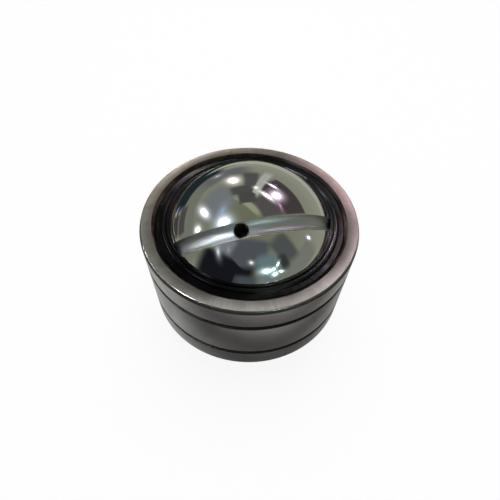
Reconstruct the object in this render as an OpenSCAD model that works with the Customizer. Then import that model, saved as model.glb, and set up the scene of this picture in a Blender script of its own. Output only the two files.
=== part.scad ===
// Sealed spherical plain bushing, as pressed into an arm or rod end of heavy machinery.
// The outer ring has a spherical bore, and the inner ring has a polished spherical outside.
// A rubber lip seal sits in each mouth of the outer ring, and its lip follows the ball.
// The origin is the ball's centre and +Z is the outer ring's axis.
// The inner ring is shown turned crosswise by hand, so its grease groove lies across the top.

/* [Outer ring] */
// Outside diameter, the press seat in the housing
outer_d = 110; // [98:1:130]
// Thinnest wall, over the widest part of the ball
ring_wall = 6; // [5:0.1:9]
// Width between the two ground end faces
outer_w = 56; // [50:1:64]
// Axial length of the lead-in chamfer at each end of the outside
lead_len = 1.8; // [1:0.1:4]
// Radial drop of the lead-in chamfer
lead_drop = 0.7; // [0.4:0.1:1.5]
// Width of each groove round the outside
ring_groove_w = 3.2; // [2:0.1:5]
// Depth of each groove round the outside
ring_groove_depth = 2; // [1:0.1:2.6]
// Distance between the centres of the two outside grooves
ring_groove_pitch = 27; // [18:1:31]
// Diameter of the grease holes drilled from the outside grooves
feed_hole_d = 4; // [2:0.1:5]
// Angle from the split line to the grease holes beside it
feed_hole_angle = 40; // [25:1:80]
// Width of each grease groove in the spherical bore
bore_groove_w = 4.6; // [3:0.1:6]
// Depth of each grease groove in the spherical bore
bore_groove_depth = 1.2; // [0.6:0.1:1.8]
// Width of the split that lets the ring open over the ball
split_w = 0.2; // [0.1:0.1:0.6]

/* [Seal seats] */
// Depth of each seal seat below the end face
seat_depth = 7.5; // [6:0.1:9]
// Width of the ledge that the seal stands on
ledge_w = 3.1; // [2.6:0.1:3.8]
// Leg of the 45 degree chamfer at each mouth
mouth_chamfer = 1.5; // [0.6:0.1:2]

/* [Inner ring] */
// Bore diameter, for the pin
bore_d = 45; // [36:1:60]
// Width of the flat between the bore's chamfer and the turned band, on each end face
end_land = 1; // [0.6:0.1:5]
// Leg of the 45 degree chamfer at each end of the bore
bore_chamfer = 1; // [0.5:0.1:1.4]
// Axial length of the turned band between the ball surface and the end face
rim_len = 0.6; // [0.4:0.1:1.2]
// Radial drop of that band
rim_drop = 1.4; // [1.2:0.1:3]
// Width of the grease groove round the ball
ball_groove_w = 7.6; // [5:0.1:10]
// Depth of the grease groove round the ball
ball_groove_depth = 1.8; // [1:0.1:2.6]
// Diameter of the grease holes through the inner ring
grease_hole_d = 6.2; // [4:0.1:7]
// Number of grease holes through the inner ring
grease_holes = 2; // [1:1:6]
// Turn of the grease holes about the bore axis, from the top of the groove
grease_hole_turn = 10.7; // [0:0.1:60]
// Width of the grease groove in the bore
pin_groove_w = 8; // [5:0.1:12]
// Depth of the grease groove in the bore
pin_groove_depth = 1.5; // [0.5:0.1:3]

/* [Seals] */
// Depth of the seal's flat below the end face
seal_recess = 1.6; // [1:0.1:2.4]
// Bevel on the seal's outer edge
seal_edge = 0.4; // [0.2:0.1:1]
// Radius of the rounded bead
bead_r = 1.3; // [0.8:0.1:1.4]
// Distance from the lip's tip out to the middle of the bead
bead_offset = 3; // [2.8:0.1:3.6]
// Depth of the lip's tip below the end face
lip_recess = 0.1; // [0:0.1:0.6]
// Thickness of the lip at its tip
lip_edge_t = 0.7; // [0.5:0.1:1]
// Height of the lip's inner face, above the relief
lip_land = 2.4; // [1.6:0.1:3.4]

/* [Fits] */
// Radial clearance between the ball and the spherical bore
ball_clear = 0.08; // [0.04:0.01:0.1]
// Gap between the ball and the seal's lip
lip_clear = 0.15; // [0.1:0.05:0.3]
// Gap between the ball and the seal below its lip
relief_clear = 0.8; // [0.5:0.1:1.2]
// Gap round the seal in its seat
seal_clear = 0.05; // [0.02:0.01:0.1]

/* [Pose] */
// Angle between the two rings' axes as the part is shown
tilt = 64; // [0:1:90]

/* [Hidden] */
$fn = 144;
// How far a cut runs past the face that it opens
past = 1;
outer_r = outer_d / 2;
face_z = outer_w / 2;
socket_r = outer_r - ring_wall;
ball_r = socket_r - ball_clear;
// Seal seat: its floor cuts the spherical bore, and the ledge runs out from there
seat_z = face_z - seat_depth;
seat_r = sqrt(pow(socket_r, 2) - pow(seat_z, 2)) + ledge_w;
mouth_r = seat_r + mouth_chamfer;
// Inner ring: the ball surface stops where it leaves room for the band, the flat and the bore
bore_r = bore_d / 2;
land_r = bore_r + bore_chamfer + end_land;
rim_r = land_r + rim_drop;
rim_z = sqrt(pow(ball_r, 2) - pow(rim_r, 2));
end_z = rim_z + rim_len;
// Round floor of the ball's groove: the circle through both edges and the floor
groove_round_r = (pow(ball_groove_w / 2, 2) + pow(ball_groove_depth, 2)) / (2 * ball_groove_depth);
// Seal section
seal_r = seat_r - seal_clear;
seal_top_z = face_z - seal_recess;
lip_z = face_z - lip_recess;
lip_sphere_r = ball_r + lip_clear;
relief_sphere_r = ball_r + relief_clear;
lip_r = sqrt(pow(lip_sphere_r, 2) - pow(lip_z, 2));
bead_at_r = lip_r + bead_offset;
relief_z = lip_z - lip_land;

// Groove cut round the outer ring, on the plane at height z
module ring_cut(inside_r, outside_r, z, w) {
    translate([0, 0, z - w / 2])
    difference() {
        cylinder(h = w, r = outside_r);
        translate([0, 0, -past]) cylinder(h = w + 2 * past, r = inside_r);
    }
}

// Solid of the outer ring before its bore is cut, with the lead-in chamfers
module outer_blank() {
    rotate_extrude()
    polygon([
        [0, -face_z],
        [outer_r - lead_drop, -face_z],
        [outer_r, -face_z + lead_len],
        [outer_r, face_z - lead_len],
        [outer_r - lead_drop, face_z],
        [0, face_z]
    ]);
}

// Seal seat and mouth chamfer at the upper end
module seat_cut() {
    translate([0, 0, seat_z]) cylinder(h = seat_depth + past, r = seat_r);
    translate([0, 0, face_z - mouth_chamfer])
    cylinder(h = mouth_chamfer + past, r1 = seat_r, r2 = mouth_r + past);
}

// Outside groove, grease holes and bore groove on the upper side of the mid-plane
module grease_cuts() {
    groove_z = ring_groove_pitch / 2;
    bore_here_r = sqrt(pow(socket_r, 2) - pow(groove_z, 2));
    ring_cut(outer_r - ring_groove_depth, outer_r + past, groove_z, ring_groove_w);
    translate([0, 0, groove_z - bore_groove_w / 2])
    cylinder(h = bore_groove_w, r = bore_here_r + bore_groove_depth);
    for (side = [-1, 1])
        rotate([0, 0, 90 + side * feed_hole_angle])
        translate([bore_here_r - past, 0, groove_z])
        rotate([0, 90, 0])
        cylinder(h = outer_r - bore_here_r + 2 * past, d = feed_hole_d);
}

// Ground steel ring that is pressed into the housing
module outer_ring() {
    color("rosybrown")
    difference() {
        outer_blank();
        sphere(r = socket_r);
        for (end = [0, 1])
            mirror([0, 0, end]) {
                seat_cut();
                grease_cuts();
            }
        translate([-split_w / 2, 0, -face_z - past])
        cube([split_w, outer_r + past, outer_w + 2 * past]);
    }
}

// Half section of the inner ring's ends: band, end face, and the space left for the ball
module end_limit() {
    rotate_extrude()
    polygon([
        [0, -end_z],
        [land_r, -end_z],
        [rim_r, -rim_z],
        [ball_r + past, -rim_z],
        [ball_r + past, rim_z],
        [rim_r, rim_z],
        [land_r, end_z],
        [0, end_z]
    ]);
}

// Chamfer at the upper end of the bore
module bore_mouth() {
    translate([0, 0, end_z - bore_chamfer])
    cylinder(h = bore_chamfer + past, r1 = bore_r, r2 = bore_r + bore_chamfer + past);
}

// Polished steel ball with a bore, on its own axis
module ball_ring() {
    difference() {
        intersection() {
            sphere(r = ball_r);
            end_limit();
        }
        translate([0, 0, -end_z - past]) cylinder(h = 2 * end_z + 2 * past, r = bore_r);
        bore_mouth();
        mirror([0, 0, 1]) bore_mouth();
        translate([0, 0, -pin_groove_w / 2]) cylinder(h = pin_groove_w, r = bore_r + pin_groove_depth);
        rotate_extrude()
        translate([ball_r - ball_groove_depth + groove_round_r, 0])
        circle(r = groove_round_r);
        for (i = [0 : grease_holes - 1])
            rotate([0, 0, -grease_hole_turn + i * 360 / grease_holes])
            rotate([90, 0, 0])
            cylinder(h = ball_r + past, d = grease_hole_d);
    }
}

module inner_ring() {
    color("silver")
    rotate([-tilt, 0, 0])
    ball_ring();
}

// Half section of the upper seal, before the ball's space is cut from it
module seal_section() {
    polygon([
        [lip_r / 2, seat_z],
        [seal_r, seat_z],
        [seal_r, seal_top_z - seal_edge],
        [seal_r - seal_edge, seal_top_z],
        [bead_at_r - bead_r, seal_top_z],
        [lip_r + lip_edge_t, lip_z],
        [lip_r / 2, lip_z]
    ]);
    translate([bead_at_r, seal_top_z]) circle(r = bead_r);
}

// Rubber seal of the upper mouth: foot on the ledge, bead, and a lip along the ball
module lip_seal() {
    difference() {
        rotate_extrude() seal_section();
        sphere(r = lip_sphere_r);
        intersection() {
            sphere(r = relief_sphere_r);
            cylinder(h = relief_z, r = relief_sphere_r);
        }
    }
}

module upper_seal() {
    color("black")
    lip_seal();
}

module lower_seal() {
    color("black")
    mirror([0, 0, 1])
    lip_seal();
}

outer_ring();
inner_ring();
upper_seal();
lower_seal();
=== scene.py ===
from math import asin, atan2, cos, degrees, pi, radians, sin, sqrt, tan

import bpy
from mathutils import Matrix, Vector


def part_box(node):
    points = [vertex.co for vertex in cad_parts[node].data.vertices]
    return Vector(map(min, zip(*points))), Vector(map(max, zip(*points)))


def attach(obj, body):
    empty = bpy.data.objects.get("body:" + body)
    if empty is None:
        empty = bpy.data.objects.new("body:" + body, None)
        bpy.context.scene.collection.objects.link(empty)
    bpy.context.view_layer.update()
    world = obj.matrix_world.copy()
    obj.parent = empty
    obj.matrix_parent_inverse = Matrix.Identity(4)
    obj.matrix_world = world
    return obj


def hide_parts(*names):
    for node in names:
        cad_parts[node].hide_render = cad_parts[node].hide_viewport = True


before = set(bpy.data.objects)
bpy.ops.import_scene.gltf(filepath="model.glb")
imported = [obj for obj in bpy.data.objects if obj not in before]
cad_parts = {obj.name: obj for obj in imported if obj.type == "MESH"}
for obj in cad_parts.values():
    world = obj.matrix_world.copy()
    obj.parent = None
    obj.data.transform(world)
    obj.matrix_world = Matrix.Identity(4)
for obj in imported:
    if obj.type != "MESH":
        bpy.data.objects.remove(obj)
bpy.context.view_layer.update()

MM = 0.001

# Sizes in millimetres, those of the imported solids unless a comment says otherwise

# Outer ring
RING_R = 55
FACE_Z = 28
SOCKET_R = 49
SEAT_Z = 20.5
SEAT_R = 47.606
LEAD_LEN = 1.8
LEAD_DROP = 0.7
MOUTH_CHAMFER = 1.5
MOUTH_R = SEAT_R + MOUTH_CHAMFER
RING_GROOVE_Z = 13.5
RING_GROOVE_W = 3.2
RING_GROOVE_DEPTH = 2
BORE_GROOVE_W = 4.6
BORE_GROOVE_DEPTH = 1.2
FEED_HOLE_D = 4
FEED_HOLE_ANGLE = 40
# The real crack is as thin as a hair, and the solid's is 0.2 wide
CRACK_W = 0.08

# Inner ring
TILT = 64
BALL_R = 48.92
BORE_R = 22.5
BORE_CHAMFER = 1
END_LAND = 1
RIM_DROP = 1.4
RIM_LEN = 0.6
LAND_R = BORE_R + BORE_CHAMFER + END_LAND
RIM_R = LAND_R + RIM_DROP
RIM_Z = sqrt(BALL_R ** 2 - RIM_R ** 2)
END_Z = RIM_Z + RIM_LEN
BALL_GROOVE_W = 7.6
BALL_GROOVE_DEPTH = 1.8
GREASE_HOLE_D = 6.2
GREASE_HOLE_TURN = 10.7
PIN_GROOVE_W = 8
PIN_GROOVE_DEPTH = 1.5
# Bevel on the edge of the grease holes, which the solid leaves sharp
HOLE_EDGE = 0.4

# Seals
SEAL_CLEAR = 0.05
SEAL_RECESS = 1.6
SEAL_EDGE = 0.4
LIP_CLEAR = 0.15
LIP_RECESS = 0.1
LIP_LAND = 2.4
RELIEF_CLEAR = 0.8
BEAD_R = 1.3
BEAD_OFFSET = 3
SEAL_R = SEAT_R - SEAL_CLEAR
SEAL_TOP_Z = FACE_Z - SEAL_RECESS
LIP_Z = FACE_Z - LIP_RECESS
LIP_SPHERE_R = BALL_R + LIP_CLEAR
RELIEF_SPHERE_R = BALL_R + RELIEF_CLEAR
RELIEF_Z = LIP_Z - LIP_LAND
LIP_R = sqrt(LIP_SPHERE_R ** 2 - LIP_Z ** 2)
BEAD_AT_R = LIP_R + BEAD_OFFSET
# The top of the lip is 0.5 wider than the solid's and slopes down to the ball, as worn rubber does
LIP_EDGE_T = 1.2
LIP_SLANT = 0.3

# How far a cutter reaches past the surface it opens
PAST = 2
# Lengths of the cutters for the feed holes and the crack, which only pass through the ring's wall
FEED_CUT_LEN = 20
CRACK_CUT_LEN = 40
# Points closer than this are made one
SAME_POINT = 0.004
# Flat faces round each turned ring
RING_STEPS = 320
BALL_STEPS = 384


# Outlines: corners in millimetres as (distance from the axis, height, corner radius)

def circle_points(radius, start, end, count, centre=(0, 0)):
    """Points on a round stretch of an outline, from one angle to another in degrees."""
    turns = [radians(start + (end - start) * i / count) for i in range(count + 1)]
    return [(centre[0] + radius * cos(t), centre[1] + radius * sin(t), 0) for t in turns]


def sphere_points(radius, from_z, to_z, count):
    return circle_points(radius, degrees(asin(from_z / radius)), degrees(asin(to_z / radius)), count)


def mirrored_down(half):
    """The upper half of an outline, mirrored to the lower half."""
    return [(r, -z, rounding) for r, z, rounding in reversed(half)]


def rounded(corners, count=4):
    """The closed outline with each corner that has a radius turned into a short arc."""
    points = []
    for i, (r, z, rounding) in enumerate(corners):
        here = Vector((r, z))
        if not rounding:
            points.append(here)
            continue
        before = (Vector(corners[i - 1][:2]) - here).normalized()
        after = (Vector(corners[(i + 1) % len(corners)][:2]) - here).normalized()
        half_angle = before.angle(after) / 2
        reach = rounding / tan(half_angle)
        centre = here + (before + after).normalized() * rounding / sin(half_angle)
        first = here + before * reach - centre
        last = here + after * reach - centre
        sweep = first.angle_signed(last)
        for k in range(count + 1):
            turn = Matrix.Rotation(-sweep * k / count, 2)
            points.append(centre + turn @ first)
    return points


# Modelling

def select_only(piece):
    bpy.ops.object.select_all(action="DESELECT")
    piece.select_set(True)
    bpy.context.view_layer.objects.active = piece


def turned(name, corners, steps):
    """Draws the outline by extruding one point along it, then spins it about the Z axis."""
    points = rounded(corners)
    start = Vector((points[0].x, 0, points[0].y)) * MM
    bpy.ops.object.select_all(action="DESELECT")
    bpy.ops.mesh.primitive_plane_add(size=MM, location=start)
    piece = bpy.context.object
    piece.name = piece.data.name = name
    bpy.ops.object.mode_set(mode="EDIT")
    bpy.ops.mesh.select_all(action="SELECT")
    bpy.ops.mesh.merge(type="CENTER")
    for here, there in zip(points, points[1:] + points[:1]):
        step = (there - here) * MM
        bpy.ops.mesh.extrude_vertices_move(TRANSFORM_OT_translate={"value": (step.x, 0, step.y)})
    bpy.ops.mesh.select_all(action="SELECT")
    bpy.ops.mesh.spin(steps=steps, angle=2 * pi, center=(0, 0, 0), axis=(0, 0, 1))
    bpy.ops.mesh.select_all(action="SELECT")
    bpy.ops.mesh.remove_doubles(threshold=SAME_POINT * MM)
    bpy.ops.mesh.select_all(action="SELECT")
    bpy.ops.mesh.normals_make_consistent(inside=False)
    bpy.ops.object.mode_set(mode="OBJECT")
    bpy.ops.object.transform_apply(location=True, rotation=True, scale=True)
    return piece


def drill(name, diameter, length, centre, direction):
    """A round cutter whose middle is at centre, in millimetres."""
    bpy.ops.object.select_all(action="DESELECT")
    turn = Vector(direction).to_track_quat("Z", "Y").to_euler()
    bpy.ops.mesh.primitive_cylinder_add(
        vertices=96, radius=diameter / 2 * MM, depth=length * MM, location=Vector(centre) * MM, rotation=turn)
    bpy.context.object.name = name
    return bpy.context.object


def cut(piece, cutters):
    """Takes the shape of all the cutters out of the piece, and removes them."""
    cutter = cutters[0]
    select_only(cutter)
    for other in cutters[1:]:
        other.select_set(True)
    bpy.ops.object.join()
    select_only(piece)
    bpy.ops.object.modifier_add(type="BOOLEAN")
    modifier = piece.modifiers[-1]
    modifier.object = cutter
    modifier.solver = "EXACT"
    bpy.ops.object.modifier_apply(modifier=modifier.name)
    bpy.data.objects.remove(cutter)


def smooth(piece, sharp):
    """Smooth shading, with edges left sharp where two faces meet at more than that angle in degrees."""
    select_only(piece)
    bpy.ops.object.shade_smooth_by_angle(angle=radians(sharp))


def paint(piece, finishes):
    """Gives each face the first finish whose test its middle and its normal pass."""
    for material, _ in finishes:
        piece.data.materials.append(material)
    for face in piece.data.polygons:
        middle = face.center / MM
        for slot, (_, test) in enumerate(finishes):
            if test(middle, face.normal):
                face.material_index = slot
                break


def radius_of(point):
    return sqrt(point.x ** 2 + point.y ** 2)


def everywhere(middle, normal):
    return True


# Materials

def linear(code):
    """A six-digit sRGB colour as linear red, green, blue and alpha."""
    channels = [int(code[i:i + 2], 16) / 255 for i in (0, 2, 4)]
    return [c / 12.92 if c <= 0.04045 else ((c + 0.055) / 1.055) ** 2.4 for c in channels] + [1]


def fill(tree, node, inputs):
    """Sets or links the node's inputs."""
    for key, value in inputs.items():
        if isinstance(value, bpy.types.NodeSocket):
            tree.links.new(value, node.inputs[key])
        else:
            node.inputs[key].default_value = value


def add(tree, kind, settings=None, inputs=None):
    """Adds one node, with its settings and with its inputs set or linked."""
    node = tree.nodes.new(kind)
    for key, value in (settings or {}).items():
        setattr(node, key, value)
    fill(tree, node, inputs or {})
    return node


# Sockets of the Mix node when it mixes colours, and when it mixes numbers
FACTOR, FIRST, SECOND, MIXED = 0, 6, 7, 2
FIRST_NUMBER, SECOND_NUMBER = 2, 3
# Sockets of the Map Range node when it maps vectors
FROM_LOW, FROM_HIGH, TO_LOW, TO_HIGH = 7, 8, 9, 10


def new_material(name):
    material = bpy.data.materials.new(name)
    material.use_nodes = True
    tree = material.node_tree
    return material, tree, tree.nodes["Principled BSDF"]


def object_point(tree, tilt=0):
    """Object coordinates in millimetres, turned so that Z is the axis of a ring tilted by that many
    degrees."""
    place = add(tree, "ShaderNodeTexCoord").outputs["Object"]
    return add(tree, "ShaderNodeMapping", {"vector_type": "POINT"}, {
        "Vector": place, "Rotation": (radians(tilt), 0, 0), "Scale": (1 / MM,) * 3}).outputs["Vector"]


def from_axis(tree, point):
    """The point's way out from the Z axis, and its distance from that axis."""
    way = add(tree, "ShaderNodeVectorMath", {"operation": "MULTIPLY"}, {
        0: point, 1: (1, 1, 0)}).outputs["Vector"]
    return way, add(tree, "ShaderNodeVectorMath", {"operation": "LENGTH"}, {0: way}).outputs["Value"]


def ring_noise(tree, point, around, along_r, along_z, detail=3):
    """Noise round the Z axis without a seam: around is how many patches fit in one radian, along_r and
    along_z how many fit in one millimetre."""
    way, radius = from_axis(tree, point)
    height = add(tree, "ShaderNodeSeparateXYZ", None, {0: point}).outputs["Z"]
    unit = add(tree, "ShaderNodeVectorMath", {"operation": "NORMALIZE"}, {0: way}).outputs["Vector"]
    turn = add(tree, "ShaderNodeVectorMath", {"operation": "SCALE"}, {
        0: unit, "Scale": around}).outputs["Vector"]
    out = add(tree, "ShaderNodeMath", {"operation": "MULTIPLY"}, {0: radius, 1: along_r}).outputs[0]
    up = add(tree, "ShaderNodeMath", {"operation": "MULTIPLY_ADD"}, {
        0: height, 1: along_z, 2: out}).outputs[0]
    rise = add(tree, "ShaderNodeCombineXYZ", None, {"Z": up}).outputs[0]
    place = add(tree, "ShaderNodeVectorMath", {"operation": "ADD"}, {0: turn, 1: rise}).outputs["Vector"]
    noise = add(tree, "ShaderNodeTexNoise", None, {
        "Vector": place, "Scale": 1.0, "Detail": detail, "Roughness": 0.6}).outputs["Fac"]
    return add(tree, "ShaderNodeMapRange", None, {
        "Value": noise, "From Min": 0.28, "From Max": 0.72}).outputs[0]


def tones_along(tree, point, axis, stops, ragged=0):
    """Colour that goes through the stops along one axis. Each stop is a place in millimetres and a
    colour, and soft patches push the places about by up to a quarter of ragged."""
    place = add(tree, "ShaderNodeSeparateXYZ", None, {0: point}).outputs[axis]
    if ragged:
        patches = add(tree, "ShaderNodeTexNoise", None, {"Vector": point, "Scale": 0.05, "Detail": 4})
        push = add(tree, "ShaderNodeMath", {"operation": "SUBTRACT"}, {0: patches.outputs["Fac"], 1: 0.5})
        place = add(tree, "ShaderNodeMath", {"operation": "MULTIPLY_ADD"}, {
            0: push.outputs[0], 1: ragged, 2: place}).outputs[0]
    tone = linear(stops[0][1])
    for (near, _), (far, colour) in zip(stops, stops[1:]):
        share = add(tree, "ShaderNodeMapRange", {"interpolation_type": "SMOOTHSTEP"}, {
            "Value": place, "From Min": near, "From Max": far}).outputs[0]
        tone = add(tree, "ShaderNodeMix", {"data_type": "RGBA"}, {
            FACTOR: share, FIRST: tone, SECOND: linear(colour)}).outputs[MIXED]
    return tone


def with_patch(tree, colour, point, middle, full, gone, tone):
    """The colour, turned to the tone within full millimetres of the middle and untouched beyond gone."""
    away = add(tree, "ShaderNodeVectorMath", {"operation": "DISTANCE"}, {
        0: point, 1: middle}).outputs["Value"]
    share = add(tree, "ShaderNodeMapRange", {"interpolation_type": "SMOOTHSTEP"}, {
        "Value": away, "From Min": gone, "From Max": full}).outputs[0]
    return add(tree, "ShaderNodeMix", {"data_type": "RGBA"}, {
        FACTOR: share, FIRST: colour, SECOND: linear(tone)}).outputs[MIXED]


def tan_and_painted_light(tree, point):
    """Steel tanned by old oil, with painted light that makes it lighter in front, under a tint that is
    a little cooler at both sides.
    """
    stops = [(-52, "fbf5e9"), (-25, "b0a697"), (25, "b0a697"), (52, "cfc6b5")]
    tone = tones_along(tree, point, "Y", stops, ragged=60)
    film = tones_along(tree, point, "X", [(-50, "e3edec"), (-15, "e7e8e7"), (15, "e7e8e6"), (50, "ebf4f8")])
    tone = add(tree, "ShaderNodeMix", {"data_type": "RGBA", "blend_type": "MULTIPLY"}, {
        FACTOR: 1.0, FIRST: tone, SECOND: film}).outputs[MIXED]
    # Painted reflection of a pink lamp on the right, and painted shade at the back on the left
    tone = with_patch(tree, tone, point, (48, 18, FACE_Z), 12, 38, "ebd3cc")
    return with_patch(tree, tone, point, (-30, 43, FACE_Z), 14, 42, "938f82")


def darker_towards_mouth(tree, point):
    """Share of the colour that is kept: blotches some 5 mm across darken the face, most at the mouth."""
    ragged = 4
    blotches = add(tree, "ShaderNodeTexNoise", None, {
        "Vector": point, "Scale": 0.2, "Detail": 6}).outputs["Fac"]
    _, radius = from_axis(tree, point)
    reach = add(tree, "ShaderNodeMath", {"operation": "MULTIPLY_ADD"}, {
        0: blotches, 1: ragged, 2: radius}).outputs[0]
    return add(tree, "ShaderNodeMapRange", {"interpolation_type": "SMOOTHSTEP"}, {
        "Value": reach, "From Min": ragged / 2 + MOUTH_R, "From Max": ragged / 2 + RING_R - LEAD_DROP,
        "To Min": 0.55, "To Max": 1.0}).outputs[0]


def ground_face():
    """Bearing steel, surface-ground on the end faces and tanned by old oil: satin, with fine marks
    that run outwards, painted light that makes it lighter in front, and darker towards the mouth."""
    material, tree, shader = new_material("surface_ground_steel")
    point = object_point(tree)
    # Real grinding marks are 0.05 mm apart, and these are 0.7 mm so that they show
    marks = ring_noise(tree, point, RING_R / 0.7, 0.12, 0, detail=2)
    shade = add(tree, "ShaderNodeMapRange", None, {"Value": marks, "To Min": 0.8, "To Max": 1.0}).outputs[0]
    depth = add(tree, "ShaderNodeMath", {"operation": "MULTIPLY"}, {
        0: shade, 1: darker_towards_mouth(tree, point)}).outputs[0]
    colour = add(tree, "ShaderNodeMix", {"data_type": "RGBA", "blend_type": "MULTIPLY"}, {
        FACTOR: 1.0, FIRST: tan_and_painted_light(tree, point), SECOND: depth}).outputs[MIXED]
    rough = add(tree, "ShaderNodeMapRange", None, {
        "Value": marks, "To Min": 0.36, "To Max": 0.44}).outputs[0]
    relief = add(tree, "ShaderNodeBump", None, {
        "Height": marks, "Strength": 1.0, "Distance": 0.008 * MM}).outputs["Normal"]
    fill(tree, shader, {"Metallic": 1.0, "Base Color": colour, "Roughness": rough, "Normal": relief})
    return material


def ground_band():
    """Bearing steel, cylindrically ground outside: grey and satin, with fine rings round the part, and
    painted light and shade that make it lightest a little right of the middle and darker towards both sides."""
    material, tree, shader = new_material("cylindrically_ground_steel")
    point = object_point(tree)
    # Real rings are 0.03 mm apart, and these are 0.4 mm so that they show
    rings = ring_noise(tree, point, 4, 0, 1 / 0.4)
    # Painted light and shade along X: lightest a little right of the middle, darker towards both sides
    stops = [
        (-RING_R, "9e9d9a"), (-38, "c8c6c2"), (-24, "dedad6"), (-10, "e6e1dd"),
        (6, "f8f2ee"), (26, "f8f2ee"), (44, "b6b0ac")]
    tone = tones_along(tree, point, "X", stops, ragged=60)
    shade = add(tree, "ShaderNodeMapRange", None, {"Value": rings, "To Min": 0.9, "To Max": 1.0}).outputs[0]
    colour = add(tree, "ShaderNodeMix", {"data_type": "RGBA", "blend_type": "MULTIPLY"}, {
        FACTOR: 1.0, FIRST: tone, SECOND: shade}).outputs[MIXED]
    rough = add(tree, "ShaderNodeMapRange", None, {
        "Value": rings, "To Min": 0.32, "To Max": 0.38}).outputs[0]
    relief = add(tree, "ShaderNodeBump", None, {
        "Height": rings, "Strength": 1.0, "Distance": 0.003 * MM}).outputs["Normal"]
    fill(tree, shader, {"Metallic": 1.0, "Base Color": colour, "Roughness": rough, "Normal": relief})
    return material


def turned_chamfer():
    """Turned steel of the mouth's chamfer, browned by heat and oil: dark, half shiny."""
    material, tree, shader = new_material("oil_browned_steel")
    point = object_point(tree)
    blotches = add(tree, "ShaderNodeTexNoise", None, {
        "Vector": point, "Scale": 0.12, "Detail": 4}).outputs["Fac"]
    share = add(tree, "ShaderNodeMapRange", None, {
        "Value": blotches, "From Min": 0.35, "From Max": 0.65}).outputs[0]
    colour = add(tree, "ShaderNodeMix", {"data_type": "RGBA"}, {
        FACTOR: share, FIRST: linear("3a312a"), SECOND: linear("64564b")}).outputs[MIXED]
    # Painted shade: near black on the right at the back
    colour = with_patch(tree, colour, point, (42, 24, FACE_Z), 24, 42, "221e1c")
    fill(tree, shader, {"Metallic": 1.0, "Base Color": colour, "Roughness": 0.3})
    return material


def burnished_edge():
    """The outer rim of the end faces, rubbed bright by handling: it catches a lamp as a thin line."""
    material, tree, shader = new_material("handling_burnished_steel")
    fill(tree, shader, {"Metallic": 1.0, "Base Color": linear("b4aea6"), "Roughness": 0.16})
    return material


def black_phosphate():
    """Phosphated steel left unground, in the grooves, the seat and the bore: dull, near black and
    slightly mottled."""
    material, tree, shader = new_material("black_phosphated_steel")
    mottle = add(tree, "ShaderNodeTexNoise", None, {
        "Vector": object_point(tree), "Scale": 1.6, "Detail": 4}).outputs["Fac"]
    share = add(tree, "ShaderNodeMapRange", None, {
        "Value": mottle, "From Min": 0.3, "From Max": 0.7}).outputs[0]
    colour = add(tree, "ShaderNodeMix", {"data_type": "RGBA"}, {
        FACTOR: share, FIRST: linear("302e2d"), SECOND: linear("4a4744")}).outputs[MIXED]
    fill(tree, shader, {"Metallic": 0.6, "Base Color": colour, "Roughness": 0.5})
    return material


def mirror_steel():
    """Bearing steel, hard chromed and buffed: a true mirror with a faint haze from the buffing."""
    material, tree, shader = new_material("mirror_chromed_steel")
    haze = add(tree, "ShaderNodeTexNoise", None, {
        "Vector": object_point(tree, TILT), "Scale": 0.12, "Detail": 5}).outputs["Fac"]
    rough = add(tree, "ShaderNodeMapRange", None, {
        "Value": haze, "From Min": 0.3, "From Max": 0.7, "To Min": 0.03, "To Max": 0.07}).outputs[0]
    fill(tree, shader, {"Metallic": 1.0, "Base Color": linear("e3e4e0"), "Roughness": rough})
    return material


def turned_steel():
    """Chromed steel as it left the lathe, in the ball's groove and end bands: fine rings, half shiny."""
    material, tree, shader = new_material("chromed_turned_steel")
    # Real turning rings are 0.1 mm apart, and these are 0.45 mm so that they show
    rings = ring_noise(tree, object_point(tree, TILT), 3, 0, 1 / 0.45)
    colour = add(tree, "ShaderNodeMix", {"data_type": "RGBA"}, {
        FACTOR: rings, FIRST: linear("aeafab"), SECOND: linear("c6c7c4")}).outputs[MIXED]
    rough = add(tree, "ShaderNodeMapRange", None, {
        "Value": rings, "To Min": 0.40, "To Max": 0.48}).outputs[0]
    relief = add(tree, "ShaderNodeBump", None, {
        "Height": rings, "Strength": 1.0, "Distance": 0.008 * MM}).outputs["Normal"]
    fill(tree, shader, {"Metallic": 1.0, "Base Color": colour, "Roughness": rough, "Normal": relief})
    return material


def wiped(tree, gloss, point, middle, share):
    """The gloss, brought down to that share of it round the middle, where the grease is wiped off."""
    away = add(tree, "ShaderNodeVectorMath", {"operation": "DISTANCE"}, {
        0: point, 1: middle}).outputs["Value"]
    kept = add(tree, "ShaderNodeMapRange", {"interpolation_type": "SMOOTHSTEP"}, {
        "Value": away, "From Min": 10, "From Max": 30, "To Min": share, "To Max": 1.0}).outputs[0]
    return add(tree, "ShaderNodeMath", {"operation": "MULTIPLY"}, {0: gloss, 1: kept}).outputs[0]


def grease_gloss(tree, point, dry):
    """How much the grease shines: most on the wet bead, and less where it is thin or wiped off."""
    gloss = add(tree, "ShaderNodeMix", {"data_type": "FLOAT"}, {
        FACTOR: dry, FIRST_NUMBER: 0.85, SECOND_NUMBER: 0.32}).outputs[0]
    # Thinner on the left
    across = add(tree, "ShaderNodeSeparateXYZ", None, {0: point}).outputs["X"]
    thick = add(tree, "ShaderNodeMapRange", {"interpolation_type": "SMOOTHSTEP"}, {
        "Value": across, "From Min": -36, "From Max": 6, "To Min": 0.28, "To Max": 1.0}).outputs[0]
    gloss = add(tree, "ShaderNodeMath", {"operation": "MULTIPLY"}, {0: gloss, 1: thick}).outputs[0]
    # Nearly all wiped off in front on the left, and over half at the back on the right
    gloss = wiped(tree, gloss, point, (-29, -31, FACE_Z), 0.2)
    return wiped(tree, gloss, point, (27, 30, FACE_Z), 0.4)


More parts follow.
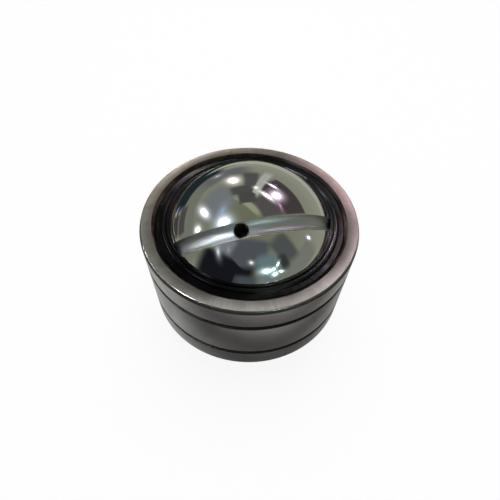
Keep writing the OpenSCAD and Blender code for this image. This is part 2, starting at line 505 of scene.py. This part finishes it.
def seal_rubber():
    """Nitrile rubber, moulded and wiped with grease: black, with a thin dull film, and a thick, wet and
    wrinkled bead of grease along the lip that catches the lamps."""
    material, tree, shader = new_material("moulded_nitrile_rubber")
    point = object_point(tree)
    _, radius = from_axis(tree, point)
    dry = add(tree, "ShaderNodeMapRange", None, {
        "Value": radius, "From Min": LIP_R + 2.9, "From Max": LIP_R + 3.9}).outputs[0]
    film = add(tree, "ShaderNodeTexNoise", None, {
        "Vector": point, "Scale": 0.14, "Detail": 4}).outputs["Fac"]
    dull = add(tree, "ShaderNodeMapRange", None, {
        "Value": film, "From Min": 0.35, "From Max": 0.65, "To Min": 0.14, "To Max": 0.3}).outputs[0]
    rough = add(tree, "ShaderNodeMix", {"data_type": "FLOAT"}, {
        FACTOR: dry, FIRST_NUMBER: 0.09, SECOND_NUMBER: dull}).outputs[0]
    # Wrinkles about 1 mm apart, whose height in millimetres is greater on the lip than further out
    wrinkles = add(tree, "ShaderNodeTexNoise", None, {
        "Vector": point, "Scale": 0.9, "Detail": 3}).outputs["Fac"]
    thick = add(tree, "ShaderNodeMix", {"data_type": "FLOAT"}, {
        FACTOR: dry, FIRST_NUMBER: 0.13, SECOND_NUMBER: 0.012}).outputs[0]
    height = add(tree, "ShaderNodeMath", {"operation": "MULTIPLY"}, {0: wrinkles, 1: thick}).outputs[0]
    relief = add(tree, "ShaderNodeBump", None, {
        "Height": height, "Strength": 1.0, "Distance": MM}).outputs["Normal"]
    fill(tree, shader, {
        "Base Color": linear("060607"), "Specular IOR Level": grease_gloss(tree, point, dry),
        "Roughness": rough, "Normal": relief})
    return material


GROUND_FACE = ground_face()
GROUND_BAND = ground_band()
CHAMFER = turned_chamfer()
RIM_EDGE = burnished_edge()
PHOSPHATE = black_phosphate()
MIRROR = mirror_steel()
TURNED = turned_steel()
RUBBER = seal_rubber()


# Outer ring

def outer_ring_outline():
    groove_low = RING_GROOVE_Z - RING_GROOVE_W / 2
    groove_high = RING_GROOVE_Z + RING_GROOVE_W / 2
    groove_r = RING_R - RING_GROOVE_DEPTH
    inner_low = RING_GROOVE_Z - BORE_GROOVE_W / 2
    inner_high = RING_GROOVE_Z + BORE_GROOVE_W / 2
    inner_r = sqrt(SOCKET_R ** 2 - RING_GROOVE_Z ** 2) + BORE_GROOVE_DEPTH
    outside = [
        (RING_R, groove_low, 0.15), (groove_r, groove_low, 0.3),
        (groove_r, groove_high, 0.3), (RING_R, groove_high, 0.15),
        (RING_R, FACE_Z - LEAD_LEN, 0.6), (RING_R - LEAD_DROP, FACE_Z, 0.45),
        (MOUTH_R, FACE_Z, 0.15), (SEAT_R, FACE_Z - MOUTH_CHAMFER, 0.2),
        (SEAT_R, SEAT_Z, 0.3),
    ]
    bore = sphere_points(SOCKET_R, SEAT_Z, inner_high, 10)
    bore += [(inner_r, inner_high, 0), (inner_r, inner_low, 0)]
    bore += sphere_points(SOCKET_R, inner_low, 0, 20)[:-1]
    half = [(RING_R, 0, 0)] + outside + bore + [(SOCKET_R, 0, 0)]
    return half + mirrored_down(half)


# Where each finish goes. The small numbers leave room for the rounded edges

# How far the burnished rim of an end face reaches down the side, and inwards over the face
RIM_DOWN = 0.42
RIM_IN = 0.3


def is_outer_edge(middle, normal):
    at_edge = abs(middle.z) > FACE_Z - RIM_DOWN and radius_of(middle) > RING_R - LEAD_DROP - RIM_IN
    return at_edge and abs(normal.z) > 0.4


def is_end_face(middle, normal):
    at_end = abs(middle.z) > FACE_Z - RIM_DOWN and radius_of(middle) > MOUTH_R - 0.2
    return at_end and abs(normal.z) > 0.45


def is_mouth(middle, normal):
    return abs(middle.z) > FACE_Z - MOUTH_CHAMFER - 0.1 and radius_of(middle) < MOUTH_R


def is_outside_band(middle, normal):
    return radius_of(middle) > RING_R - 0.12 and abs(normal.z) < 0.1


def ring_openings():
    """Cutters for the four feed holes and for the crack at the back."""
    openings = []
    for side in (-1, 1):
        angle = radians(90 + side * FEED_HOLE_ANGLE)
        outward = Vector((cos(angle), sin(angle), 0))
        for level in (-RING_GROOVE_Z, RING_GROOVE_Z):
            middle = outward * RING_R + Vector((0, 0, level))
            openings.append(drill("feed_hole_cutter", FEED_HOLE_D, FEED_CUT_LEN, middle, outward))
    bpy.ops.object.select_all(action="DESELECT")
    bpy.ops.mesh.primitive_cube_add(
        size=MM, location=(0, RING_R * MM, 0), scale=(CRACK_W, CRACK_CUT_LEN, 2 * FACE_Z + 2 * PAST))
    return openings + [bpy.context.object]


ring = turned("ground_outer_ring", outer_ring_outline(), RING_STEPS)
cut(ring, ring_openings())
smooth(ring, sharp=35)
paint(ring, [
    (RIM_EDGE, is_outer_edge), (GROUND_FACE, is_end_face), (CHAMFER, is_mouth),
    (GROUND_BAND, is_outside_band), (PHOSPHATE, everywhere)])
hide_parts("outer_ring")
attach(ring, "outer_body")


# Inner ring

def inner_ring_outline():
    groove_r = (BALL_GROOVE_W ** 2 / 4 + BALL_GROOVE_DEPTH ** 2) / (2 * BALL_GROOVE_DEPTH)
    groove_axis_r = BALL_R - BALL_GROOVE_DEPTH + groove_r
    # Where the groove's circle meets the ball: both circles' centres lie on the radius at z = 0
    meet_r = (BALL_R ** 2 - groove_r ** 2 + groove_axis_r ** 2) / (2 * groove_axis_r)
    meet_z = sqrt(BALL_R ** 2 - meet_r ** 2)
    spread = degrees(atan2(meet_z, groove_axis_r - meet_r))
    floor = circle_points(groove_r, 180, 180 - spread, 10, (groove_axis_r, 0))[:-1]
    ball = sphere_points(BALL_R, meet_z, RIM_Z, 44)[1:-1]
    half = floor + [(meet_r, meet_z, 0.12)] + ball + [
        (RIM_R, RIM_Z, 0.1), (LAND_R, END_Z, 0.15),
        (BORE_R + BORE_CHAMFER, END_Z, 0.12), (BORE_R, END_Z - BORE_CHAMFER, 0.12),
        (BORE_R, PIN_GROOVE_W / 2, 0.12), (BORE_R + PIN_GROOVE_DEPTH, PIN_GROOVE_W / 2, 0.3),
    ]
    return half + mirrored_down(half[1:])


def lean(piece):
    """Turns a finished ring from its own axis to the place it has at rest."""
    select_only(piece)
    piece.rotation_euler = (-radians(TILT), 0, 0)
    bpy.ops.object.transform_apply(location=True, rotation=True, scale=True)


HOLE_AXIS = Vector((-sin(radians(GREASE_HOLE_TURN)), -cos(radians(GREASE_HOLE_TURN)), 0))


def off_hole_axis(point):
    return (point - HOLE_AXIS * point.dot(HOLE_AXIS)).length


def is_hole_wall(middle):
    inside = radius_of(middle) < BALL_R - BALL_GROOVE_DEPTH + 1.3
    return inside and off_hole_axis(middle) < GREASE_HOLE_D / 2 + HOLE_EDGE


def is_ball(middle, normal):
    return abs(middle.length - BALL_R) < 0.02 and normal.dot(middle.normalized()) > 0.999


def is_turned(middle, normal):
    """The groove and the end bands, without the walls of the grease holes."""
    return radius_of(middle) > LAND_R - 0.2 and not is_hole_wall(middle)


def break_hole_edges(piece):
    """Bevels the edges that the grease holes leave in the groove's floor."""
    mesh = piece.data
    on_wall = [abs(off_hole_axis(corner.co / MM) - GREASE_HOLE_D / 2) < 0.01 for corner in mesh.vertices]
    wall_faces = {face.index for face in mesh.polygons if all(on_wall[i] for i in face.vertices)}
    faces_of = {}
    for face in mesh.polygons:
        for key in face.edge_keys:
            faces_of.setdefault(key, []).append(face.index)
    for group in (mesh.vertices, mesh.edges, mesh.polygons):
        group.foreach_set("select", [False] * len(group))
    for edge in mesh.edges:
        neighbours = faces_of[edge.key]
        inmost = min(radius_of(mesh.vertices[i].co / MM) for i in edge.key)
        outside = inmost > BALL_R - BALL_GROOVE_DEPTH - 1
        edge.select = outside and sum(i in wall_faces for i in neighbours) == 1
    bpy.ops.object.mode_set(mode="EDIT")
    bpy.context.tool_settings.mesh_select_mode = (False, True, False)
    bpy.ops.mesh.bevel(offset=HOLE_EDGE * MM, segments=3, clamp_overlap=False)
    bpy.context.tool_settings.mesh_select_mode = (True, False, False)
    bpy.ops.object.mode_set(mode="OBJECT")


ball = turned("polished_inner_ring", inner_ring_outline(), BALL_STEPS)
cut(ball, [drill("grease_hole_cutter", GREASE_HOLE_D, 2 * (BALL_R + PAST), (0, 0, 0), HOLE_AXIS)])
break_hole_edges(ball)
smooth(ball, sharp=28)
paint(ball, [(MIRROR, is_ball), (TURNED, is_turned), (PHOSPHATE, everywhere)])
lean(ball)
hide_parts("inner_ring")
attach(ball, "inner_body")


# Seals

def seal_outline():
    slant_z = LIP_Z - LIP_SLANT
    foot_r = sqrt(RELIEF_SPHERE_R ** 2 - SEAT_Z ** 2)
    step_r = sqrt(LIP_SPHERE_R ** 2 - RELIEF_Z ** 2)
    slant_r = sqrt(LIP_SPHERE_R ** 2 - slant_z ** 2)
    relief = [(foot_r, SEAT_Z, 0)] + sphere_points(RELIEF_SPHERE_R, SEAT_Z, RELIEF_Z, 10)[1:]
    lip = [(step_r, RELIEF_Z, 0)] + sphere_points(LIP_SPHERE_R, RELIEF_Z, slant_z, 8)[1:-1]
    lip += [(slant_r, slant_z, 0.15), (LIP_R + LIP_EDGE_T, LIP_Z, 0.4)]
    bead = circle_points(BEAD_R, 170, 10, 18, (BEAD_AT_R, SEAL_TOP_Z))
    outside = [
        (BEAD_AT_R + BEAD_R + 0.3, SEAL_TOP_Z, 0.2), (SEAL_R - SEAL_EDGE, SEAL_TOP_Z, 0.2),
        (SEAL_R, SEAL_TOP_Z - SEAL_EDGE, 0.2), (SEAL_R, SEAT_Z, 0.1),
    ]
    return relief + lip + [(BEAD_AT_R - BEAD_R - 0.05, SEAL_TOP_Z, 0.1)] + bead + outside


def flip(piece):
    """Mirrors a piece to the other end of the ring, and turns its faces outward again."""
    select_only(piece)
    piece.scale = (1, 1, -1)
    bpy.ops.object.transform_apply(location=True, rotation=True, scale=True)
    bpy.ops.object.mode_set(mode="EDIT")
    bpy.ops.mesh.select_all(action="SELECT")
    bpy.ops.mesh.normals_make_consistent(inside=False)
    bpy.ops.object.mode_set(mode="OBJECT")


for node in ("upper_seal", "lower_seal"):
    seal = turned("rubber_" + node, seal_outline(), RING_STEPS)
    if node == "lower_seal":
        flip(seal)
    smooth(seal, sharp=50)
    paint(seal, [(RUBBER, everywhere)])
    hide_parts(node)
    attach(seal, "outer_body")


# Camera: aim, distance and angles of the photograph, for a frame of 500 by 500

PHOTO_SIDE = 500
FOCAL_PIXELS = 384
CAMERA_AIM = (0.65, -21.7, 28)
CAMERA_DISTANCE = 180.3
CAMERA_ELEVATION = 52.58
CAMERA_ROLL = 2.05
# Turn from the photograph's left-right line to the part's X axis
PHOTO_TURN = -14.44


def photo_camera():
    turn = Matrix.Rotation(radians(PHOTO_TURN), 4, "Z")
    lift = Matrix.Rotation(radians(90 - CAMERA_ELEVATION), 4, "X")
    facing = turn @ lift @ Matrix.Rotation(radians(CAMERA_ROLL), 4, "Z")
    aim = turn @ Vector(CAMERA_AIM) * MM
    place = aim + facing.to_3x3() @ Vector((0, 0, CAMERA_DISTANCE * MM))
    data = bpy.data.cameras.new("camera")
    data.sensor_width = 36
    data.lens = FOCAL_PIXELS / PHOTO_SIDE * data.sensor_width
    data.clip_start = 0.01
    data.clip_end = 50
    camera = bpy.data.objects.new("camera", data)
    camera.matrix_world = Matrix.Translation(place) @ facing
    bpy.context.scene.collection.objects.link(camera)
    bpy.context.scene.camera = camera


photo_camera()


# Floor and light

FLOOR_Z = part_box("inner_ring")[0].z
FLOOR_SIDE = 6
# Share of plain white in what the camera sees of the floor
FLOOR_GLOW = 0.9
# Strength of the light from all round
SKY_LIGHT = 0.5
LAMP_PLACE = Vector((0.1, 0.3, 1.3))
LAMP_SIDE = 1.0
LAMP_WATTS = 14


def empty_material(name):
    material = bpy.data.materials.new(name)
    material.use_nodes = True
    material.node_tree.nodes.clear()
    return material, material.node_tree


def pale_floor():
    """A matt floor that the camera sees as nearly white, with the part's shadow on it."""
    bpy.ops.object.select_all(action="DESELECT")
    bpy.ops.mesh.primitive_plane_add(size=FLOOR_SIDE, location=(0, 0, FLOOR_Z))
    floor = bpy.context.object
    floor.name = "pale_floor"
    material, tree = empty_material("pale_floor")
    matt = add(tree, "ShaderNodeBsdfDiffuse", None, {"Color": linear("ececec")}).outputs[0]
    glow = add(tree, "ShaderNodeEmission", None, {"Color": (1, 1, 1, 1), "Strength": 1.0}).outputs[0]
    seen = add(tree, "ShaderNodeLightPath").outputs["Is Camera Ray"]
    share = add(tree, "ShaderNodeMath", {"operation": "MULTIPLY"}, {0: seen, 1: FLOOR_GLOW}).outputs[0]
    mixed = add(tree, "ShaderNodeMixShader", None, {0: share, 1: matt, 2: glow}).outputs[0]
    add(tree, "ShaderNodeOutputMaterial", None, {"Surface": mixed})
    floor.data.materials.append(material)


def studio_world():
    """Soft light from all round. It is plain white to the camera, and to metal and glass where the
    dome leaves it free."""
    world = bpy.data.worlds.new("studio")
    bpy.context.scene.world = world
    world.use_nodes = True
    tree = world.node_tree
    tree.nodes.clear()
    path = add(tree, "ShaderNodeLightPath").outputs
    mirrored = add(tree, "ShaderNodeMath", {"operation": "MAXIMUM"}, {
        0: path["Is Glossy Ray"], 1: path["Is Transmission Ray"]}).outputs[0]
    seen = add(tree, "ShaderNodeMath", {"operation": "MAXIMUM"}, {
        0: path["Is Camera Ray"], 1: mirrored}).outputs[0]
    sky = add(tree, "ShaderNodeMapRange", None, {
        "Value": seen, "To Min": SKY_LIGHT, "To Max": 1.0}).outputs[0]
    back = add(tree, "ShaderNodeBackground", None, {"Color": (1, 1, 1, 1), "Strength": sky}).outputs[0]
    add(tree, "ShaderNodeOutputWorld", None, {"Surface": back})


def overhead_lamp():
    """A soft lamp above and behind the part, which the metal doesn't mirror."""
    lamp = bpy.data.lights.new("overhead_lamp", "AREA")
    lamp.shape = "SQUARE"
    lamp.size = LAMP_SIDE
    lamp.energy = LAMP_WATTS
    holder = bpy.data.objects.new("overhead_lamp", lamp)
    holder.location = LAMP_PLACE
    holder.rotation_euler = LAMP_PLACE.to_track_quat("Z", "Y").to_euler()
    holder.visible_glossy = False
    bpy.context.scene.collection.objects.link(holder)


pale_floor()
studio_world()
overhead_lamp()


# What the ball and the ground faces mirror

# The ball gives back about three quarters of what it mirrors, and the screens make up for it
SCREEN_STRENGTH = 1.3
# Share of its middle that a lamp's glow has at its edge
GLOW_END = 0.002
# Distance in metres of each row's first card, and how much nearer each next card hangs
FAR_AWAY = 1.6
LAMPS_AWAY = 1.3
NEAR_AWAY = 1.0
CARD_STEP = 0.01


def screen_material(name, colour, soft):
    """An even glow, with edges that fade over that share of the half width and half height."""
    material, tree = empty_material(name)
    light = add(tree, "ShaderNodeEmission", None, {
        "Color": linear(colour), "Strength": SCREEN_STRENGTH}).outputs[0]
    place = add(tree, "ShaderNodeTexCoord").outputs["Object"]
    inside = add(tree, "ShaderNodeVectorMath", {"operation": "ABSOLUTE"}, {0: place}).outputs["Vector"]
    smoothly = {"data_type": "FLOAT_VECTOR", "interpolation_type": "SMOOTHSTEP"}
    fade = add(tree, "ShaderNodeMapRange", smoothly, {
        "Vector": inside, FROM_LOW: (1, 1, 1), FROM_HIGH: (1 - soft,) * 3,
        TO_LOW: (0, 0, 0), TO_HIGH: (1, 1, 1)}).outputs["Vector"]
    sides = add(tree, "ShaderNodeSeparateXYZ", None, {0: fade}).outputs
    share = add(tree, "ShaderNodeMath", {"operation": "MULTIPLY"}, {0: sides["X"], 1: sides["Y"]}).outputs[0]
    clear = add(tree, "ShaderNodeBsdfTransparent").outputs[0]
    mixed = add(tree, "ShaderNodeMixShader", None, {0: share, 1: clear, 2: light}).outputs[0]
    add(tree, "ShaderNodeOutputMaterial", None, {"Surface": mixed})
    return material


def lamp_material(name, colour, strength, core):
    """A glow that is brightest in the middle, falls off outwards and lets the screens behind it through.
    The core is what a real lamp has beyond white: a mirror shows it as white, and satin steel picks
    it up."""
    material, tree = empty_material(name)
    place = add(tree, "ShaderNodeTexCoord").outputs["Object"]
    reach = add(tree, "ShaderNodeVectorMath", {"operation": "LENGTH"}, {0: place}).outputs["Value"]
    fall = add(tree, "ShaderNodeMath", {"operation": "POWER"}, {0: GLOW_END, 1: reach}).outputs[0]
    halo = add(tree, "ShaderNodeMapRange", None, {
        "Value": fall, "From Min": GLOW_END, "From Max": 1.0, "To Max": strength}).outputs[0]
    middle = add(tree, "ShaderNodeMapRange", {"interpolation_type": "SMOOTHSTEP"}, {
        "Value": reach, "From Min": 0.28, "From Max": 0.14, "To Max": core}).outputs[0]
    power = add(tree, "ShaderNodeMath", {"operation": "ADD"}, {0: halo, 1: middle}).outputs[0]
    light = add(tree, "ShaderNodeEmission", None, {"Color": linear(colour), "Strength": power}).outputs[0]
    clear = add(tree, "ShaderNodeBsdfTransparent").outputs[0]
    both = add(tree, "ShaderNodeAddShader", None, {0: clear, 1: light}).outputs[0]
    add(tree, "ShaderNodeOutputMaterial", None, {"Surface": both})
    return material


def glowing_material(name, tones):
    """A steady glow in the tones that the function gives."""
    material, tree = empty_material(name)
    glow = add(tree, "ShaderNodeEmission", None, {
        "Color": tones(tree), "Strength": SCREEN_STRENGTH}).outputs[0]
    add(tree, "ShaderNodeOutputMaterial", None, {"Surface": glow})
    return material


def only_mirrored(piece, material):
    """Paints a piece of the studio, and keeps it out of everything but reflections."""
    piece.name = material.name
    piece.data.materials.append(material)
    for kind in ("camera", "diffuse", "shadow", "transmission", "volume_scatter"):
        setattr(piece, "visible_" + kind, False)


def card(material, azimuth, elevation, width, height, turn_by, away):
    """A flat card round the part. Azimuth 0 is +Y and 90 is +X, and width and height are the angles
    in degrees that it covers."""
    a, e = radians(azimuth), radians(elevation)
    way = Vector((sin(a) * cos(e), cos(a) * cos(e), sin(e)))
    facing_in = (-way).to_track_quat("Z", "Y").to_matrix()
    bpy.ops.object.select_all(action="DESELECT")
    bpy.ops.mesh.primitive_plane_add(size=2, location=way * away)
    piece = bpy.context.object
    piece.rotation_euler = (facing_in @ Matrix.Rotation(radians(turn_by), 3, "Z")).to_euler()
    piece.scale = (away * tan(radians(width / 2)), away * tan(radians(height / 2)), 1)
    only_mirrored(piece, material)


def hang(cards, material_of, away):
    """Hangs a row of cards, the first that far away and each next one in front of the one before."""
    for order, (name, values) in enumerate(cards.items()):
        card(material_of(name, *values[5:]), *values[:5], away=away - CARD_STEP * order)


# From back to front: azimuth, elevation, width, height and turn in degrees, sRGB colour, and the share
# of the card over which its edges fade
FAR_SCREENS = {
    "olive_screen_left": (-60, 12, 86, 30, 0, "6b6e65", 0.4),
    "grey_screen_left": (-42, 47, 60, 48, 0, "6b7073", 0.7),
    "olive_screen_right": (140, 14, 84, 26, 0, "6f716b", 0.4),
    "olive_strip_top": (8, 73, 46, 10, 49, "8c8f7b", 0.6),
    "grey_screen_middle": (-6, 13, 50, 28, 0, "5f6062", 0.6),
    "dark_screen_high": (7, 61, 22, 26, 0, "454545", 0.4),
    "dark_screen_middle": (4, 50, 30, 15, 0, "484848", 0.4),
    "dark_screen_low": (14, 33, 16, 34, 0, "4c4b4e", 0.5),
    "brown_screen_low": (57, 38, 45, 30, 0, "3f393c", 0.12),
    "brown_screen_high": (62, 62, 34, 33, 12, "4e4a4b", 0.35),
    "pale_strip": (25, 40, 9, 62, 5, "a0a09b", 0.5),
    "brown_strip": (-54, 6, 30, 11, 0, "474342", 0.35),
    "dim_screen": (-160, 48, 66, 42, 0, "4a4e55", 0.4),
    "grey_screen_back": (-124, 50, 26, 26, 0, "70727a", 0.6),
    "navy_screen": (-137, 20, 81, 48, 0, "14151b", 0.42),
    "grey_screen_near": (-163, 15, 44, 20, 0, "43484d", 0.8),
    "teal_screen": (168, 29, 34, 40, 0, "5f7379", 0.6),
    "dark_screen_right": (136, 38, 31, 43, 0, "4a4d4e", 0.5),
    "dark_screen_near": (146, 27, 15, 26, 0, "2f3436", 0.7),
}
# The same for those that stand close by and low
NEAR_SCREENS = {
    "teal_screen_low": (-22, -1, 46, 15, 0, "1c262a", 0.35),
    "grey_screen_low": (-55, -4, 24, 12, 0, "3a3a3c", 0.4),
    "blue_strip_low": (-42, -3, 4, 10, -30, "3a3f9a", 0.5),
}
# The same for the lamps, with the strengths of the glow and of the core as the last values
LAMPS = {
    "sky_lamp_high": (-84, 61, 42, 42, 0, "dce8ff", 8, 50),
    "sky_lamp_middle": (-55.5, 36.5, 42, 18, 133, "f0f6ff", 8, 40),
    "sky_lamp_low": (-76, 29, 23, 19, 0, "f0f6ff", 8, 20),
    "blue_haze": (-52, 58, 60, 36, 0, "a8c4ff", 0.5, 0),
    "rose_lamp_left": (-3, 32, 23, 32, -10, "fff0f8", 8, 30),
    "small_lamp": (-9, 11, 16, 16, 0, "dfe0ea", 1.2, 0),
    "strip_lamp": (21, 48, 13, 11, 0, "ffffff", 3, 0),
    "tube_lamp_low": (38, 36.5, 25, 7, 5, "f6f4ff", 8, 4),
    "tube_lamp_high": (42, 54.5, 38, 10, 8, "fbf8ff", 8, 6),
    "rose_lamp_right": (51, 46, 28, 32, 0, "ffe2fa", 8, 10),
    "rose_streak": (69, 51.5, 36, 8, 6, "f0a0dc", 1.5, 0),
    "violet_patch": (34, 28, 14, 10, 0, "5a40c0", 0.8, 0),
    "cyan_lamp_a": (171, 25, 32, 15, 8, "d8ffff", 8, 30),
    "cyan_lamp_b": (155, 28, 17, 6, -40, "d8ffff", 6, 10),
    "cyan_lamp_c": (162, 24.7, 12, 9, 0, "d8ffff", 6, 10),
    "cyan_lamp_d": (154, 18.7, 17, 6, 25, "d8ffff", 6, 10),
    "cyan_lamp_e": (162, 18.5, 20, 12, 0, "d8ffff", 5, 10),
    "near_lamp": (-170, 37.5, 16, 12, 20, "ffffff", 2.5, 0),
    "blue_lamp": (102, 18.5, 8, 14, -15, "c8d2ff", 8, 10),
    "grey_streak_a": (-119, 37, 38, 16, 45, "c4ccdc", 2.2, 0),
    "groove_lamp": (-103, 51, 17, 34, 24, "e6ecff", 8, 60),
    "grey_streak_b": (-131, 46, 30, 14, 55, "b0a8c0", 0.5, 0),
}
hang(FAR_SCREENS, screen_material, FAR_AWAY)
hang(LAMPS, lamp_material, LAMPS_AWAY)
hang(NEAR_SCREENS, screen_material, NEAR_AWAY)

DOME_R = 2.8
# The foot of the dome and the floor beyond the bench have one tone
FOOT_TONE = "85877a"


def dome_tones(tree):
    """The dome's tone, which darkens from its foot to its top."""
    place = add(tree, "ShaderNodeTexCoord").outputs["Object"]
    height = add(tree, "ShaderNodeSeparateXYZ", None, {0: place}).outputs["Z"]
    rise = add(tree, "ShaderNodeMapRange", None, {"Value": height, "From Max": DOME_R}).outputs[0]
    return add(tree, "ShaderNodeMix", {"data_type": "RGBA"}, {
        FACTOR: rise, FIRST: linear(FOOT_TONE), SECOND: linear("666956")}).outputs[MIXED]


bpy.ops.object.select_all(action="DESELECT")
bpy.ops.mesh.primitive_uv_sphere_add(segments=64, ring_count=32, radius=DOME_R)
only_mirrored(bpy.context.object, glowing_material("olive_dome", dome_tones))

# The bench top round the part, and a pale sheet under it. Both are darker in front, where the part's
# own shadow falls, and the outside of the ring mirrors the sheet
BENCH_R = 0.69
SHEET_R = 0.2
BENCH_TONES = [(-70, "646362"), (10, "969b8e")]
SHEET_TONES = [(-110, "757374"), (-74, "262627"), (10, "c4c4c2")]


def disc(material, radius, lift):
    """A round sheet about the Z axis, lifted that many millimetres off the floor."""
    bpy.ops.object.select_all(action="DESELECT")
    bpy.ops.mesh.primitive_circle_add(
        vertices=96, radius=radius, fill_type="NGON", location=(0, 0, FLOOR_Z + lift * MM))
    only_mirrored(bpy.context.object, material)


def bench_tones(tree):
    return tones_along(tree, object_point(tree), "Y", BENCH_TONES)


def sheet_tones(tree):
    return tones_along(tree, object_point(tree), "Y", SHEET_TONES)


def foot_tone(tree):
    return linear(FOOT_TONE)


disc(glowing_material("bench_top", bench_tones), BENCH_R, 0.3)
disc(glowing_material("pale_sheet", sheet_tones), SHEET_R, 0.5)
disc(glowing_material("olive_floor", foot_tone), DOME_R, 0.2)

# Dark mats on the bench, behind the part and to its left: middle in X and Y, width and depth in metres,
# turn in degrees, sRGB colour, and the share over which the edges fade
MATS = {
    "teal_mat": (-0.175, 0.393, 0.32, 0.62, 24, "1c262a", 0.2),
    "grey_mat": (-0.33, 0.24, 0.18, 0.60, 54, "3a3a3c", 0.2),
    "teal_mat_far": (-0.315, 0.779, 0.80, 0.44, 22, "1c262a", 0.2),
    "grey_mat_far": (-0.689, 0.482, 0.44, 0.44, 55, "3a3a3c", 0.2),
}
# Height in millimetres of the lowest mat above the floor, and of each one above the one before
MAT_LIFT = 0.8
MAT_STEP = 0.3
for order, (name, (x, y, width, depth, turn_by, colour, soft)) in enumerate(MATS.items()):
    bpy.ops.object.select_all(action="DESELECT")
    height = FLOOR_Z + (MAT_LIFT + MAT_STEP * order) * MM
    bpy.ops.mesh.primitive_plane_add(size=2, location=(x, y, height), rotation=(0, 0, radians(turn_by)))
    mat = bpy.context.object
    mat.scale = (width / 2, depth / 2, 1)
    only_mirrored(mat, screen_material(name, colour, soft))

bpy.context.scene.view_settings.view_transform = "Standard"
